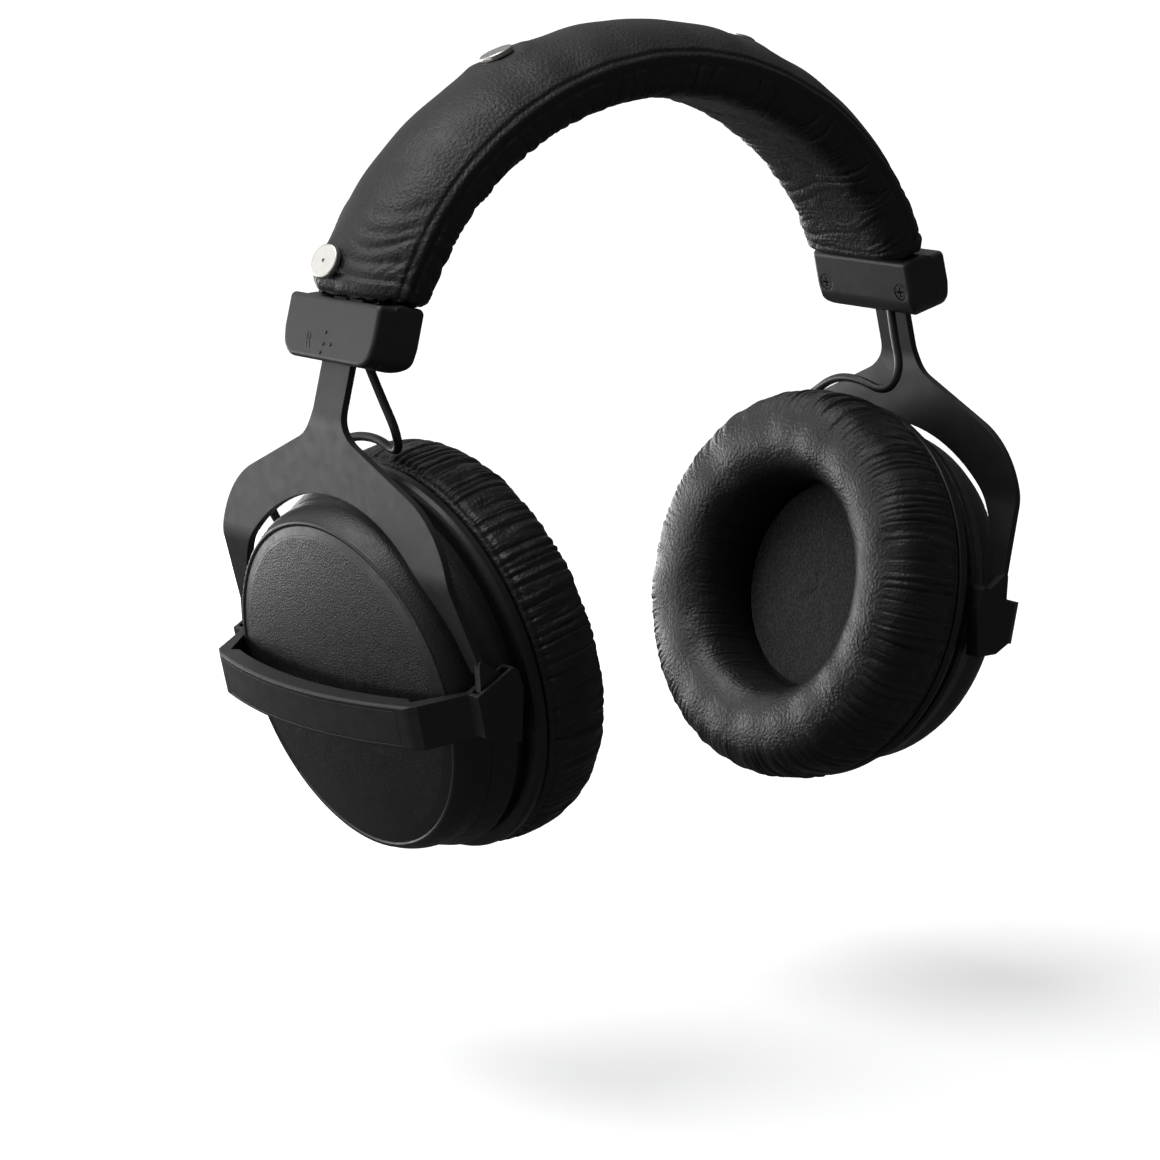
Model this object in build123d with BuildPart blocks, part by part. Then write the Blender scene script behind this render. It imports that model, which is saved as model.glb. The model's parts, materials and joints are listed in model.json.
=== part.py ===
"""Closed-back over-ear headphones with a padded headband, sliding wishbone yokes and tilting cups.

Millimetres, +Z up, X across the head and the wearer facing -Y, so the right cup is at -X.
The origin is the middle of the headband's underside, where the pair rests on a head or a stand.
The right side is modelled and the left side is its mirror image in the YZ plane.
"""

import os
from math import asin, cos, pi, radians, sin, sqrt, tan

from build123d import *

# Headband: two tangent arcs on each side of the crown, by slope in degrees below the horizontal
CROWN_RADIUS = 94.24
SIDE_RADIUS = 79.15
CROWN_END = 35.0
BAND_TOP = 10.4
BAND_WIDTH = 18.0
BAND_THICKNESS = 0.9
BAND_TAIL = 5.0

PAD_END = 68.6
PAD_WIDTH = 36.2
PAD_ABOVE = 8.3
PAD_BELOW = 10.4
PAD_EDGE = 0.8
PAD_CORNER = 8.0
PAD_TAPER = 0.6
SKIN = 1.0
SOFT_GAP = 0.3

SNAP_RADIUS = 4.3
SNAP_THICKNESS = 1.3
SNAP_Y = 4.0
SNAP_SLOPES = (22.0, 65.7)
SNAP_LEANS = (0.0, 15.0)
SNAP_POST = 1.15
SNAP_POST_DEPTH = 2.6
SNAP_SOCKET = 2.2

CROSSOVER_RADIUS = 1.0
CROSSOVER_Y = 11.0
CROSSOVER_DROP = 1.65

# Slider housing and the yoke's stem, which lean out from the vertical
LEAN = 14.0
SLIDER_CENTRE = (-86.9, 0.0, -51.6)
SLIDER_WIDTH = 37.0
SLIDER_HEIGHT = 15.2
SLIDER_IN = 8.8
SLIDER_OUT = 4.8
SLIDER_RIM = 1.0
SLIDER_UNDERCUT = 5.5
SLIDER_TOP_CORNER = 1.5
SLIDER_BOTTOM_CORNER = 5.2
SLIDER_SCREW_Y = 14.3
SLIDER_SCREW_RADIUS = 1.0
SLIDER_SCREW_HEAD = 2.0

SHEET = 1.8
STEM_HALF = 5.8
STEM_TOP = 15.5
STEM_FOOT = 21.75
STEM_GAP = 0.3
YOKE_HALF = 49.3
SHOULDER_Z = -74.7
ARM_Z = -92.3
TIP_Z = -126.5
ARM_HALF = 44.4
ARCH_Z = -90.0
ARM_BEND = (-91.0, -105.0)
ARM_FOOT = (-81.5, -131.1)
DETENT_HOLES = 5
DETENT_STEP = 3.2
LUG_THICKNESS = 2.0
LUG_RADIUS = 4.3
LUG_TOP = (-84.1, -124.0)
LUG_GAP = 0.4
PIN_RADIUS = 1.5
PIN_INSIDE = 46.2
PIN_COVER = 0.5

# Cup: its own frame stands on the ear pad's seat, with its axis pointing away from the head
TILT = 13.1
CUP_CENTRE = (-66.5, 0.0, -132.0)
PIVOT_OUT = 13.0
PIVOT_UP = 4.5
TILT_ROOM = 24.0
PAD_THICKNESS = 21.0
PAD_RADIUS = 50.0
PAD_HOLE = 27.5
FLANGE_RADIUS = 49.5
FLANGE_THICKNESS = 3.6
SHELL_RADIUS = 46.7
GROOVE_RADIUS = 45.0
SHELL_INSIDE = 42.4
SEAM_RADIUS = 44.7
SEAM_OUT = 13.0
RIM_RADIUS = 41.3
RIM_OUT = 22.0
DOME_OUT = 26.5
BAFFLE_RADIUS = 43.8
BAFFLE_THICKNESS = 2.2
DRIVER_RADIUS = 24.0
SURROUND_RADIUS = 22.0
COIL_RADIUS = 9.6
MAGNET_RADIUS = 17.0
MAGNET_OUT = 14.5
FELT_OUT = 15.5
BOARD_PLACE = (-24.0, 24.0)

STRAP_OUT = 37.0
STRAP_RADIUS = 145.0
STRAP_HALF = 38.5
STRAP_HEIGHT = 11.0
STRAP_THICKNESS = 4.6
BLOCK_INSIDE = 45.4
BLOCK_OUTSIDE = 50.6
BLOCK_LOW = -9.4
BLOCK_IN = 5.9
BLOCK_OUT = 19.1
BRACKET_SCREW_RADIUS = 1.2
BRACKET_SCREW_DOWN = 5.2
PLATE_HALF = 35.5
PLATE_HEIGHT = 8.4
PLATE_DEPTH = 1.0

LEAD_RADIUS = 1.1
LEAD_EXIT_Y = -4.6
LEAD_EXIT_IN = 4.6
INLET_ANGLE = 51.0
INLET_OUT = 7.5
# Route of the lead between the slider and the cup: a slack loop that passes behind the yoke
LEAD_ROUTE = (
    (-83.89, -4.6, -58.53),
    (-82.4, -8.0, -66.5),
    (-81.0, -12.2, -74.5),
    (-78.4, -9.5, -80.6),
    (-77.6, 0.5, -77.6),
    (-78.4, 11.0, -78.5),
    (-79.9, 21.5, -84.5),
    (-81.2, 33.0, -90.5),
    (-82.2, 40.8, -96.0),
    (-81.06, 39.56, -102.50),
    (-79.85, 32.95, -107.71),
)
LEAD_FILL = 0.45

GLAND_RADIUS = 4.0
GLAND_BORE = 2.75
GLAND_OUT = 8.5
GLAND_FLANGE = 5.0


def axis_plane(origin, degrees_down):
    """Plane whose Z points away from the head, tipped down by an angle, with its Y upwards."""
    outward = (-cos(radians(degrees_down)), 0, -sin(radians(degrees_down)))
    return Plane(origin=origin, x_dir=(0, -1, 0), z_dir=outward)


def section_plane(face):
    """Plane through a face plane's axis: X is the radius towards the front and Y runs outwards."""
    return Plane(origin=face.origin, x_dir=face.x_dir, z_dir=-face.y_dir)


CUP = axis_plane(CUP_CENTRE, TILT)
CUP_SECTION = section_plane(CUP)
CUP_AXIS = Axis(CUP.origin, CUP.z_dir)
SLIDER = axis_plane(SLIDER_CENTRE, -LEAN)
SLIDER_PLAN = section_plane(SLIDER)
PIVOT = CUP.from_local_coords((0, PIVOT_UP, PIVOT_OUT))


def band_point(slope, offset=0.0, side=-1):
    """X and Z of the band's middle surface where it has this slope, moved outwards by an offset."""
    arcs = ((0.0, CROWN_END, CROWN_RADIUS), (CROWN_END, 90.0 - LEAN, SIDE_RADIUS))
    x = offset * sin(radians(slope))
    z = BAND_TOP + offset * cos(radians(slope))
    for start, end, radius in arcs:
        reached = min(max(slope, start), end)
        x += radius * (sin(radians(reached)) - sin(radians(start)))
        z -= radius * (cos(radians(start)) - cos(radians(reached)))
    return side * x, z


def band_arcs(end, offset=0.0):
    """Draw the band's arcs from the right end over the crown to the left end."""
    slopes = (end, CROWN_END, 0.0)
    for side, ordered in ((-1, slopes), (1, slopes[::-1])):
        for first, last in zip(ordered[:-1], ordered[1:]):
            middle = (first + last) / 2
            ThreePointArc(*(band_point(s, offset, side) for s in (first, middle, last)))


def band_end_plane(slope, offset=0.0):
    """Plane across the band at its right end, with X towards the back and Y outwards."""
    x, z = band_point(slope, offset)
    tangent = (cos(radians(slope)), 0, sin(radians(slope)))
    return Plane(origin=(x, 0, z), x_dir=(0, 1, 0), z_dir=tangent)


def make_spring_band():
    """Spring steel strip that carries the headband, with straight tails held in the sliders."""
    end = 90.0 - LEAN
    with BuildPart() as band:
        with BuildLine(Plane.XZ) as path:
            band_arcs(end)
        with BuildSketch(band_end_plane(end)):
            Rectangle(BAND_WIDTH, BAND_THICKNESS)
        sweep(path=path.wire())
        for side in (-1, 1):
            x, z = band_point(end, 0, side)
            down = (side * sin(radians(LEAN)), 0, -cos(radians(LEAN)))
            with BuildSketch(Plane(origin=(x, 0, z), x_dir=(0, 1, 0), z_dir=down)):
                Rectangle(BAND_WIDTH, BAND_THICKNESS)
            extrude(amount=BAND_TAIL)
    return band.part


def pad_section(inset):
    """Cross-section of the pad at its right end, drawn in all round by an inset."""
    half = PAD_WIDTH / 2 - inset
    with BuildSketch(band_end_plane(PAD_END)) as section:
        with BuildLine():
            ThreePointArc((half, PAD_EDGE), (0, PAD_ABOVE - inset), (-half, PAD_EDGE))
            FilletPolyline(
                (-half, PAD_EDGE), (PAD_TAPER - half, inset - PAD_BELOW),
                (half - PAD_TAPER, inset - PAD_BELOW), (half, PAD_EDGE), radius=PAD_CORNER - inset,
            )
        make_face()
    return section.sketch


def make_headband_cover():
    """Leatherette sleeve around the foam and the band, open at both ends."""
    with BuildPart() as cover:
        with BuildLine(Plane.XZ) as path:
            band_arcs(PAD_END)
        sweep(sections=pad_section(0.0), path=path.wire())
        sweep(sections=pad_section(SKIN), path=path.wire(), mode=Mode.SUBTRACT)
        for place in snap_places():
            with BuildSketch(place):
                Circle(SNAP_POST + SOFT_GAP)
            extrude(amount=SKIN + 1.0, both=True, mode=Mode.SUBTRACT)
    return cover.part


def stem_pocket(side):
    """Room that the retracted stem needs inside the foam."""
    reach = 26.0
    plan = SLIDER.offset(-STEM_GAP - SHEET / 2)
    with BuildPart() as pocket:
        with BuildSketch(plan):
            with Locations((0, SLIDER_HEIGHT / 2 + reach)):
                Rectangle(2 * STEM_HALF + 2.4, 2 * reach)
        extrude(amount=12.0)
    return pocket.part if side < 0 else mirror(pocket.part, about=Plane.YZ)


def make_headband_foam():
    """Foam core with a slot for the band, a groove for the crossover lead and two stem pockets."""
    with BuildPart() as foam:
        with BuildLine(Plane.XZ) as pad_path:
            band_arcs(PAD_END)
        sweep(sections=pad_section(SKIN + SOFT_GAP), path=pad_path.wire())
        with BuildLine(Plane.XZ) as path:
            band_arcs(90.0 - LEAN)
        with BuildSketch(band_end_plane(90.0 - LEAN)):
            Rectangle(BAND_WIDTH + 2 * SOFT_GAP, BAND_THICKNESS + 2 * SOFT_GAP)
            with Locations((CROSSOVER_Y, -CROSSOVER_DROP)):
                Rectangle(3 * CROSSOVER_RADIUS, 3 * CROSSOVER_RADIUS)
        sweep(path=path.wire(), mode=Mode.SUBTRACT)
        for side in (-1, 1):
            add(stem_pocket(side), mode=Mode.SUBTRACT)
        for place in snap_places():
            with BuildSketch(place.offset(-SNAP_POST_DEPTH - 0.5)):
                Circle(SNAP_SOCKET + SOFT_GAP)
            extrude(amount=6.5, mode=Mode.SUBTRACT)
    return foam.part


def snap_places():
    """Plane of each press stud on the pad's crowned face; the lower ones lean towards the front."""
    rise = PAD_ABOVE - PAD_EDGE
    crown = ((PAD_WIDTH / 2) ** 2 + rise**2) / (2 * rise)
    tilt = asin(SNAP_Y / crown)
    places = []
    for side in (-1, 1):
        for slope, lean in zip(SNAP_SLOPES, SNAP_LEANS):
            x, z = band_point(slope, PAD_ABOVE - crown + crown * cos(tilt), side)
            facing = tilt - radians(lean)
            across = side * sin(radians(slope)) * cos(facing)
            outward = Vector(across, sin(facing), cos(radians(slope)) * cos(facing))
            along = Vector(side * cos(radians(slope)), 0, -sin(radians(slope)))
            places.append(Plane(origin=(x, SNAP_Y, z), x_dir=along, z_dir=outward))
    return places


def snap_lift(place):
    """Height of a cap's underside along its axis, so that a leaning cap clears the sleeve."""
    lean = SNAP_LEANS[snap_places().index(place) % len(SNAP_LEANS)]
    return 0.1 + SNAP_RADIUS * sin(radians(lean))


def make_snap_caps():
    """Four domed press-stud caps with a dimple in the middle and a post through the sleeve."""
    with BuildPart() as caps:
        for place in snap_places():
            with BuildSketch(place.offset(snap_lift(place))):
                Circle(SNAP_RADIUS)
            extrude(amount=SNAP_THICKNESS)
        rims = caps.edges().filter_by(GeomType.CIRCLE)
        fillet([rim for rim in rims if is_outer_edge(rim)], radius=0.5)
        for place in snap_places():
            with BuildSketch(place.offset(SNAP_THICKNESS + snap_lift(place))):
                Circle(0.5)
            extrude(amount=-0.3, mode=Mode.SUBTRACT)
            with BuildSketch(place.offset(snap_lift(place) + 0.1)):
                Circle(SNAP_POST)
            extrude(amount=-snap_lift(place) - SNAP_POST_DEPTH)
    return caps.part


def is_outer_edge(edge):
    """True for a cap's upper rim, the one further from the pad."""
    centre = edge.arc_center
    nearest = min(snap_places(), key=lambda place: (place.origin - centre).length)
    return nearest.to_local_coords(centre).Z > snap_lift(nearest) + SNAP_THICKNESS / 2


def make_snap_sockets():
    """Four press-stud sockets inside the sleeve, each on its cap's post."""
    with BuildPart() as sockets:
        for place in snap_places():
            with BuildSketch(place.offset(-SNAP_POST_DEPTH - 0.2)):
                Circle(SNAP_SOCKET)
                Circle(SNAP_POST + 0.05, mode=Mode.SUBTRACT)
            extrude(amount=1.0)
    return sockets.part


def make_crossover_lead():
    """Lead from one slider to the other, laid in the foam under the band."""
    end = 90.0 - LEAN
    with BuildPart() as lead:
        with BuildLine(Plane.XZ.offset(-CROSSOVER_Y)) as path:
            band_arcs(end, -CROSSOVER_DROP)
        start = band_end_plane(end, -CROSSOVER_DROP)
        with BuildSketch(start):
            with Locations((CROSSOVER_Y, 0)):
                Circle(CROSSOVER_RADIUS)
        sweep(path=path.wire())
    return lead.part


def slider_outline(plane, rise=0.0):
    """Front view of the slider housing: small upper corners and large lower ones."""
    half = SLIDER_WIDTH / 2
    top = SLIDER_HEIGHT / 2
    low = SLIDER_BOTTOM_CORNER
    with BuildSketch(plane) as outline:
        with BuildLine():
            FilletPolyline(
                (half - 0.1, top + rise), (-half + 0.1, top + rise), (-half, -1.0), (-half + 1.4, -top),
                (half - 1.4, -top), (half, -1.0),
                radius=(SLIDER_TOP_CORNER, SLIDER_TOP_CORNER, 9.0, low, low, 9.0), close=True,
            )
        make_face()
    return outline.sketch


def slider_side():
    """Side view of the slider's inner half: a rim that rises inwards and a rounded lower corner."""
    top = SLIDER_HEIGHT / 2
    with BuildSketch(Plane(origin=SLIDER.origin, x_dir=-SLIDER.z_dir, z_dir=SLIDER.x_dir)) as side:
        with BuildLine():
            Polyline(
                (SLIDER_IN, SLIDER_UNDERCUT - top), (SLIDER_IN, top + SLIDER_RIM),
                (2.6, top + SLIDER_RIM), (0, top), (0, -top), (SLIDER_IN - SLIDER_UNDERCUT, -top),
            )
            RadiusArc(
                (SLIDER_IN - SLIDER_UNDERCUT, -top), (SLIDER_IN, SLIDER_UNDERCUT - top), -SLIDER_UNDERCUT,
            )
        make_face()
    return side.sketch


def make_slider_base():
    """Inner half of the slider housing: holds the band's end, the wiring and the stem's channel."""
    band_pocket, wire_pocket = 2.9, 6.2
    head_depth = 1.6
    with BuildPart() as base:
        extrude(slider_outline(SLIDER.offset(-SLIDER_IN), SLIDER_RIM), amount=SLIDER_IN)
        inner = base.faces().sort_by(Axis(SLIDER.origin, SLIDER.z_dir))[0]
        fillet(inner.edges(), radius=1.6)
        extrude(slider_side(), amount=SLIDER_WIDTH, both=True, mode=Mode.INTERSECT)
        with BuildSketch(SLIDER):
            Rectangle(2 * STEM_HALF + 2 * STEM_GAP, 2 * SLIDER_HEIGHT)
        extrude(amount=-SHEET / 2 - STEM_GAP, mode=Mode.SUBTRACT)
        with BuildSketch(SLIDER):
            with Locations((0, 6.0)):
                Rectangle(BAND_WIDTH + 2 * SOFT_GAP, 24.0)
        extrude(amount=-band_pocket, mode=Mode.SUBTRACT)
        with BuildSketch(SLIDER):
            with Locations((0, 1.0)):
                Rectangle(25.0, 8.0)
        extrude(amount=-wire_pocket, mode=Mode.SUBTRACT)
        with BuildSketch(SLIDER_PLAN.offset(2.0)):
            with Locations((-LEAD_EXIT_Y, -LEAD_EXIT_IN)):
                Circle(LEAD_RADIUS + 1.2)
        extrude(amount=SLIDER_HEIGHT, mode=Mode.SUBTRACT)
        with BuildSketch(SLIDER_PLAN.offset(2.0)):
            with Locations((-CROSSOVER_Y, -3.2)):
                Rectangle(2.8, 3.0)
        extrude(amount=-SLIDER_HEIGHT, mode=Mode.SUBTRACT)
        with BuildSketch(SLIDER.offset(-SLIDER_IN)):
            with Locations((-SLIDER_SCREW_Y, 0), (SLIDER_SCREW_Y, 0)):
                Circle(SLIDER_SCREW_HEAD + 0.2)
        extrude(amount=head_depth, mode=Mode.SUBTRACT)
        with BuildSketch(SLIDER.offset(-SLIDER_IN)):
            with Locations((-SLIDER_SCREW_Y, 0), (SLIDER_SCREW_Y, 0)):
                Circle(SLIDER_SCREW_RADIUS + 0.1)
        extrude(amount=SLIDER_IN, mode=Mode.SUBTRACT)
    return base.part


def make_slider_cover():
    """Outer half of the slider housing, with a pocket for the detent spring and two screw bosses."""
    with BuildPart() as cover:
        extrude(slider_outline(SLIDER.offset(0.05)), amount=SLIDER_OUT - 0.05)
        outer = cover.faces().sort_by(Axis(SLIDER.origin, SLIDER.z_dir))[-1]
        fillet(outer.edges(), radius=1.1)
        with BuildSketch(SLIDER):
            Rectangle(2 * STEM_HALF + 2 * STEM_GAP, 2 * SLIDER_HEIGHT)
        extrude(amount=SHEET / 2 + STEM_GAP, mode=Mode.SUBTRACT)
        with BuildSketch(SLIDER):
            Rectangle(9.0, 11.4)
        extrude(amount=2.9, mode=Mode.SUBTRACT)
        with BuildSketch(SLIDER):
            with Locations((-SLIDER_SCREW_Y, 0), (SLIDER_SCREW_Y, 0)):
                Circle(SLIDER_SCREW_RADIUS + 0.03)
        extrude(amount=3.4, mode=Mode.SUBTRACT)
    return cover.part


def make_slider_screws():
    """Two cross-head screws that join the slider's halves from the head side."""
    face = SLIDER.offset(-SLIDER_IN + 0.1)
    cross_length, cross_width = 2.6, 0.5
    with BuildPart() as screws:
        for y in (-SLIDER_SCREW_Y, SLIDER_SCREW_Y):
            with BuildSketch(face):
                with Locations((y, 0)):
                    Circle(SLIDER_SCREW_HEAD)
            extrude(amount=1.5)
            with BuildSketch(face):
                with Locations((y, 0)):
                    Circle(SLIDER_SCREW_RADIUS)
            extrude(amount=SLIDER_IN + 3.0)
            with BuildSketch(face):
                with Locations((y, 0)):
                    Rectangle(cross_length, cross_width)
                    Rectangle(cross_width, cross_length)
            extrude(amount=0.7, mode=Mode.SUBTRACT)
    return screws.part


def make_detent_spring():
    """Leaf spring that presses on the stem: flat feet and a bowed middle with a small nib."""
    low = SHEET / 2 + 0.45
    high = 2.65
    with BuildPart() as spring:
        side = Plane(origin=SLIDER.origin, x_dir=SLIDER.z_dir, z_dir=-SLIDER.x_dir)
        with BuildSketch(side) as profile:
            with BuildLine():
                Polyline(
                    (high, -5.5), (high, -4.0), (low, -0.8), (low, 0.8), (high, 4.0), (high, 5.5),
                )
            trace(line_width=0.35)
        extrude(profile.sketch, amount=3.5, both=True)
    return spring.part


def yoke_outline():
    """Front view of the yoke: a stem that flares into two arms round the cup."""
    top = SLIDER_CENTRE[2] + STEM_TOP
    tip_inside = 45.0
    arch_half, arch_foot = 43.0, -119.0
    with BuildSketch(Plane.YZ) as outline:
        with BuildLine():
            FilletPolyline(
                (YOKE_HALF, TIP_Z), (ARM_HALF, ARM_Z), (STEM_HALF, SHOULDER_Z), (STEM_HALF, top),
                (-STEM_HALF, top), (-STEM_HALF, SHOULDER_Z), (-ARM_HALF, ARM_Z), (-YOKE_HALF, TIP_Z),
                radius=(25.0, 9.0, 0.8, 0.8, 9.0, 25.0),
            )
            Line((-YOKE_HALF, TIP_Z), (-tip_inside, TIP_Z))
            Line((-tip_inside, TIP_Z), (-arch_half, arch_foot))
            ThreePointArc((-arch_half, arch_foot), (0, ARCH_Z), (arch_half, arch_foot))
            Line((arch_half, arch_foot), (tip_inside, TIP_Z))
            Line((tip_inside, TIP_Z), (YOKE_HALF, TIP_Z))
        make_face()
    return outline.sketch


def make_yoke():
    """Stamped steel wishbone: bent below the stem and again at the arms, with a lug at each tip."""
    foot = SLIDER.from_local_coords((0, -STEM_FOOT, 0))
    top = SLIDER.from_local_coords((0, STEM_TOP + 10.0, 0))
    with BuildPart() as yoke:
        with BuildSketch(Plane.XZ):
            with BuildLine():
                FilletPolyline(
                    (top.X, top.Z), (foot.X, foot.Z), ARM_BEND, ARM_FOOT, radius=14.0,
                )
            trace(line_width=SHEET)
        extrude(amount=YOKE_HALF + 1.0, both=True)
        extrude(yoke_outline(), amount=-130.0, mode=Mode.INTERSECT)
        for start in (YOKE_HALF - LUG_THICKNESS, -YOKE_HALF):
            with BuildSketch(Plane.XZ.offset(start)):
                with Locations((PIVOT.X, PIVOT.Z)):
                    Circle(LUG_RADIUS)
                with Locations(LUG_TOP):
                    Circle(SHEET / 2 - 0.05)
                make_hull()
            extrude(amount=LUG_THICKNESS)
        with BuildSketch(Plane.XZ.offset(-YOKE_HALF - 1.0)):
            with Locations((PIVOT.X, PIVOT.Z)):
                Circle(PIN_RADIUS + 0.02)
        extrude(amount=2 * YOKE_HALF + 2.0, mode=Mode.SUBTRACT)
        with BuildSketch(SLIDER.offset(-2.0)):
            with Locations(*((0, 1.0 + DETENT_STEP * i) for i in range(DETENT_HOLES))):
                Circle(0.8)
        extrude(amount=4.0, mode=Mode.SUBTRACT)
    return yoke.part


def make_pivot_pins():
    """Pins through the yoke's lugs, hidden in blind holes at the front and the back."""
    with BuildPart() as pins:
        for y in (-1, 1):
            place = (PIVOT.X, y * PIN_INSIDE, PIVOT.Z)
            outward = Plane(origin=place, x_dir=(1, 0, 0), z_dir=(0, y, 0))
            with BuildSketch(outward):
                Circle(PIN_RADIUS)
            extrude(amount=BLOCK_OUTSIDE - PIN_COVER - 0.1 - PIN_INSIDE)
    return pins.part


def ring_section(*outline):
    """Closed outline of radius and height points, to be turned about the cup's axis."""
    with BuildSketch(CUP_SECTION) as section:
        with BuildLine():
            Polyline(*outline, close=True)
        make_face()
    return section.sketch


def dome_arc(edge, top):
    """Arc from a rim point to the axis that leaves the axis squarely, as half of a spherical cap."""
    radius, out = edge
    sphere = (radius**2 + (top - out) ** 2) / (2 * (top - out))
    half = radius / 2
    return ThreePointArc(edge, (half, top - sphere + sqrt(sphere**2 - half**2)), (0, top))


def make_ear_pad():
    """Round leatherette ear cushion, as one plain ring."""
    front = -PAD_THICKNESS - 0.4
    with BuildPart() as pad:
        with BuildSketch(CUP_SECTION):
            with BuildLine():
                FilletPolyline(
                    (PAD_HOLE, -0.4), (PAD_RADIUS, -0.4), (PAD_RADIUS, front), (PAD_HOLE, front),
                    radius=(3.0, 3.0, 9.0, 8.0), close=True,
                )
            make_face()
        revolve(axis=CUP_AXIS)
    return pad.part


def make_pad_ring():
    """Flange with a thin edge that the ear pad's skirt grips."""
    with BuildPart() as ring:
        revolve(ring_section(
            (44.0, 0.0), (FLANGE_RADIUS - 0.3, 0.0), (FLANGE_RADIUS, 0.3), (FLANGE_RADIUS, 2.0),
            (FLANGE_RADIUS - 0.6, 3.0), (46.6, FLANGE_THICKNESS), (44.0, FLANGE_THICKNESS),
        ), axis=CUP_AXIS)
    return ring.part


def make_cup_shell():
    """Side wall of the cup: a groove behind the flange, a step, and a taper up to the seam."""
    inside = SHELL_INSIDE
    low = FLANGE_THICKNESS + 0.05
    with BuildPart() as shell:
        revolve(ring_section(
            (inside, low), (GROOVE_RADIUS, low), (GROOVE_RADIUS, 6.2), (SHELL_RADIUS, 7.0),
            (SHELL_RADIUS, 8.4), (SEAM_RADIUS, SEAM_OUT), (inside, SEAM_OUT),
        ), axis=CUP_AXIS)
        with BuildSketch(inlet_plane()):
            Circle(2.0)
        extrude(amount=-8.0, mode=Mode.SUBTRACT)
        for y in (-1, 1):
            with BuildSketch(bracket_screw_plane(y)):
                Circle(BRACKET_SCREW_RADIUS + 0.1)
            extrude(amount=8.0, mode=Mode.SUBTRACT)
    return shell.part


def inlet_plane():
    """Plane at the lead's inlet on the upper rear of the cup, with Z along the radius."""
    angle = radians(INLET_ANGLE)
    radial = -CUP.x_dir * sin(angle) + CUP.y_dir * cos(angle)
    origin = CUP.origin + CUP.z_dir * INLET_OUT + radial * (SHELL_RADIUS + 0.2)
    return Plane(origin=origin, x_dir=CUP.z_dir, z_dir=radial)


def bracket_screw_plane(y):
    """Plane inside the cup's wall where a bracket screw's head sits, facing the block."""
    origin = CUP.from_local_coords((-y * (SHELL_INSIDE - 1.5), -BRACKET_SCREW_DOWN, 10.2))
    return Plane(origin=origin, x_dir=CUP.z_dir, z_dir=(0, y, 0))


def make_cup_cap():
    """Domed outer cap: sloping shoulder, raised rim ridge, smooth band and a shallow dome."""
    low = SEAM_OUT + 0.05
    with BuildPart() as cap:
        with BuildSketch(CUP_SECTION):
            with BuildLine():
                Line((SEAM_RADIUS - 2.3, low), (SEAM_RADIUS - 0.1, low))
                Line((SEAM_RADIUS - 0.1, low), (SEAM_RADIUS - 0.6, low + 3.2))
                ThreePointArc((SEAM_RADIUS - 0.6, low + 3.2), (43.4, 18.9), (42.0, 21.4))
                ThreePointArc((42.0, 21.4), (RIM_RADIUS, RIM_OUT + 0.1), (40.6, 21.8))
                Line((40.6, 21.8), (38.6, 22.4))
                dome_arc((38.6, 22.4), DOME_OUT)
                Line((0, DOME_OUT), (0, DOME_OUT - 2.2))
                dome_arc((38.0, 20.2), DOME_OUT - 2.2)
                ThreePointArc((38.0, 20.2), (41.2, 18.0), (SEAM_RADIUS - 2.3, low))
            make_face()
        revolve(axis=CUP_AXIS)
    return cap.part


def make_baffle():
    """Plate that closes the cup towards the ear and carries the driver."""
    with BuildPart() as baffle:
        revolve(ring_section(
            (DRIVER_RADIUS + 0.2, 0.0), (BAFFLE_RADIUS, 0.0), (BAFFLE_RADIUS, BAFFLE_THICKNESS),
            (DRIVER_RADIUS + 0.2, BAFFLE_THICKNESS),
        ), axis=CUP_AXIS)
    return baffle.part


def make_driver_grille():
    """Perforated disc over the driver, set in the baffle's middle."""
    hole, pitch = 1.3, 6.0
    with BuildPart() as grille:
        with BuildSketch(CUP):
            Circle(DRIVER_RADIUS)
            for ring in range(1, 4):
                with PolarLocations(pitch * ring, 6 * ring):
                    Circle(hole, mode=Mode.SUBTRACT)
            Circle(hole, mode=Mode.SUBTRACT)
        extrude(amount=1.0)
    return grille.part


def make_foam_disc():
    """Thin acoustic foam in the ear pad's opening, in front of the grille."""
    with BuildPart() as disc:
        with BuildSketch(CUP.offset(-2.6)):
            Circle(PAD_HOLE - 0.5)
        extrude(amount=2.0)
    return disc.part


def make_diaphragm():
    """Moving membrane: a rounded surround and a central dome."""
    edge, middle, joint, crest = 2.4, 4.2, 3.2, 5.0
    skin = 0.4
    with BuildPart() as diaphragm:
        with BuildSketch(CUP_SECTION):
            with BuildLine():
                ThreePointArc(
                    (SURROUND_RADIUS, edge + skin), (16.0, middle + skin), (COIL_RADIUS, joint + skin),
                )
                dome_arc((COIL_RADIUS, joint + skin), crest + skin)
                Line((0, crest + skin), (0, crest))
                dome_arc((COIL_RADIUS, joint), crest)
                ThreePointArc((COIL_RADIUS, joint), (16.0, middle), (SURROUND_RADIUS, edge))
                Line((SURROUND_RADIUS, edge), (SURROUND_RADIUS, edge + skin))
            make_face()
        revolve(axis=CUP_AXIS)
    return diaphragm.part


def make_voice_coil():
    """Coil on its former, hanging from the membrane into the magnet's gap."""
    inside, outside = COIL_RADIUS - 0.3, COIL_RADIUS + 0.3
    low, high = 3.8, 8.9
    with BuildPart() as coil:
        revolve(ring_section(
            (inside, low), (outside, low), (outside, high), (inside, high),
        ), axis=CUP_AXIS)
    return coil.part


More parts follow.
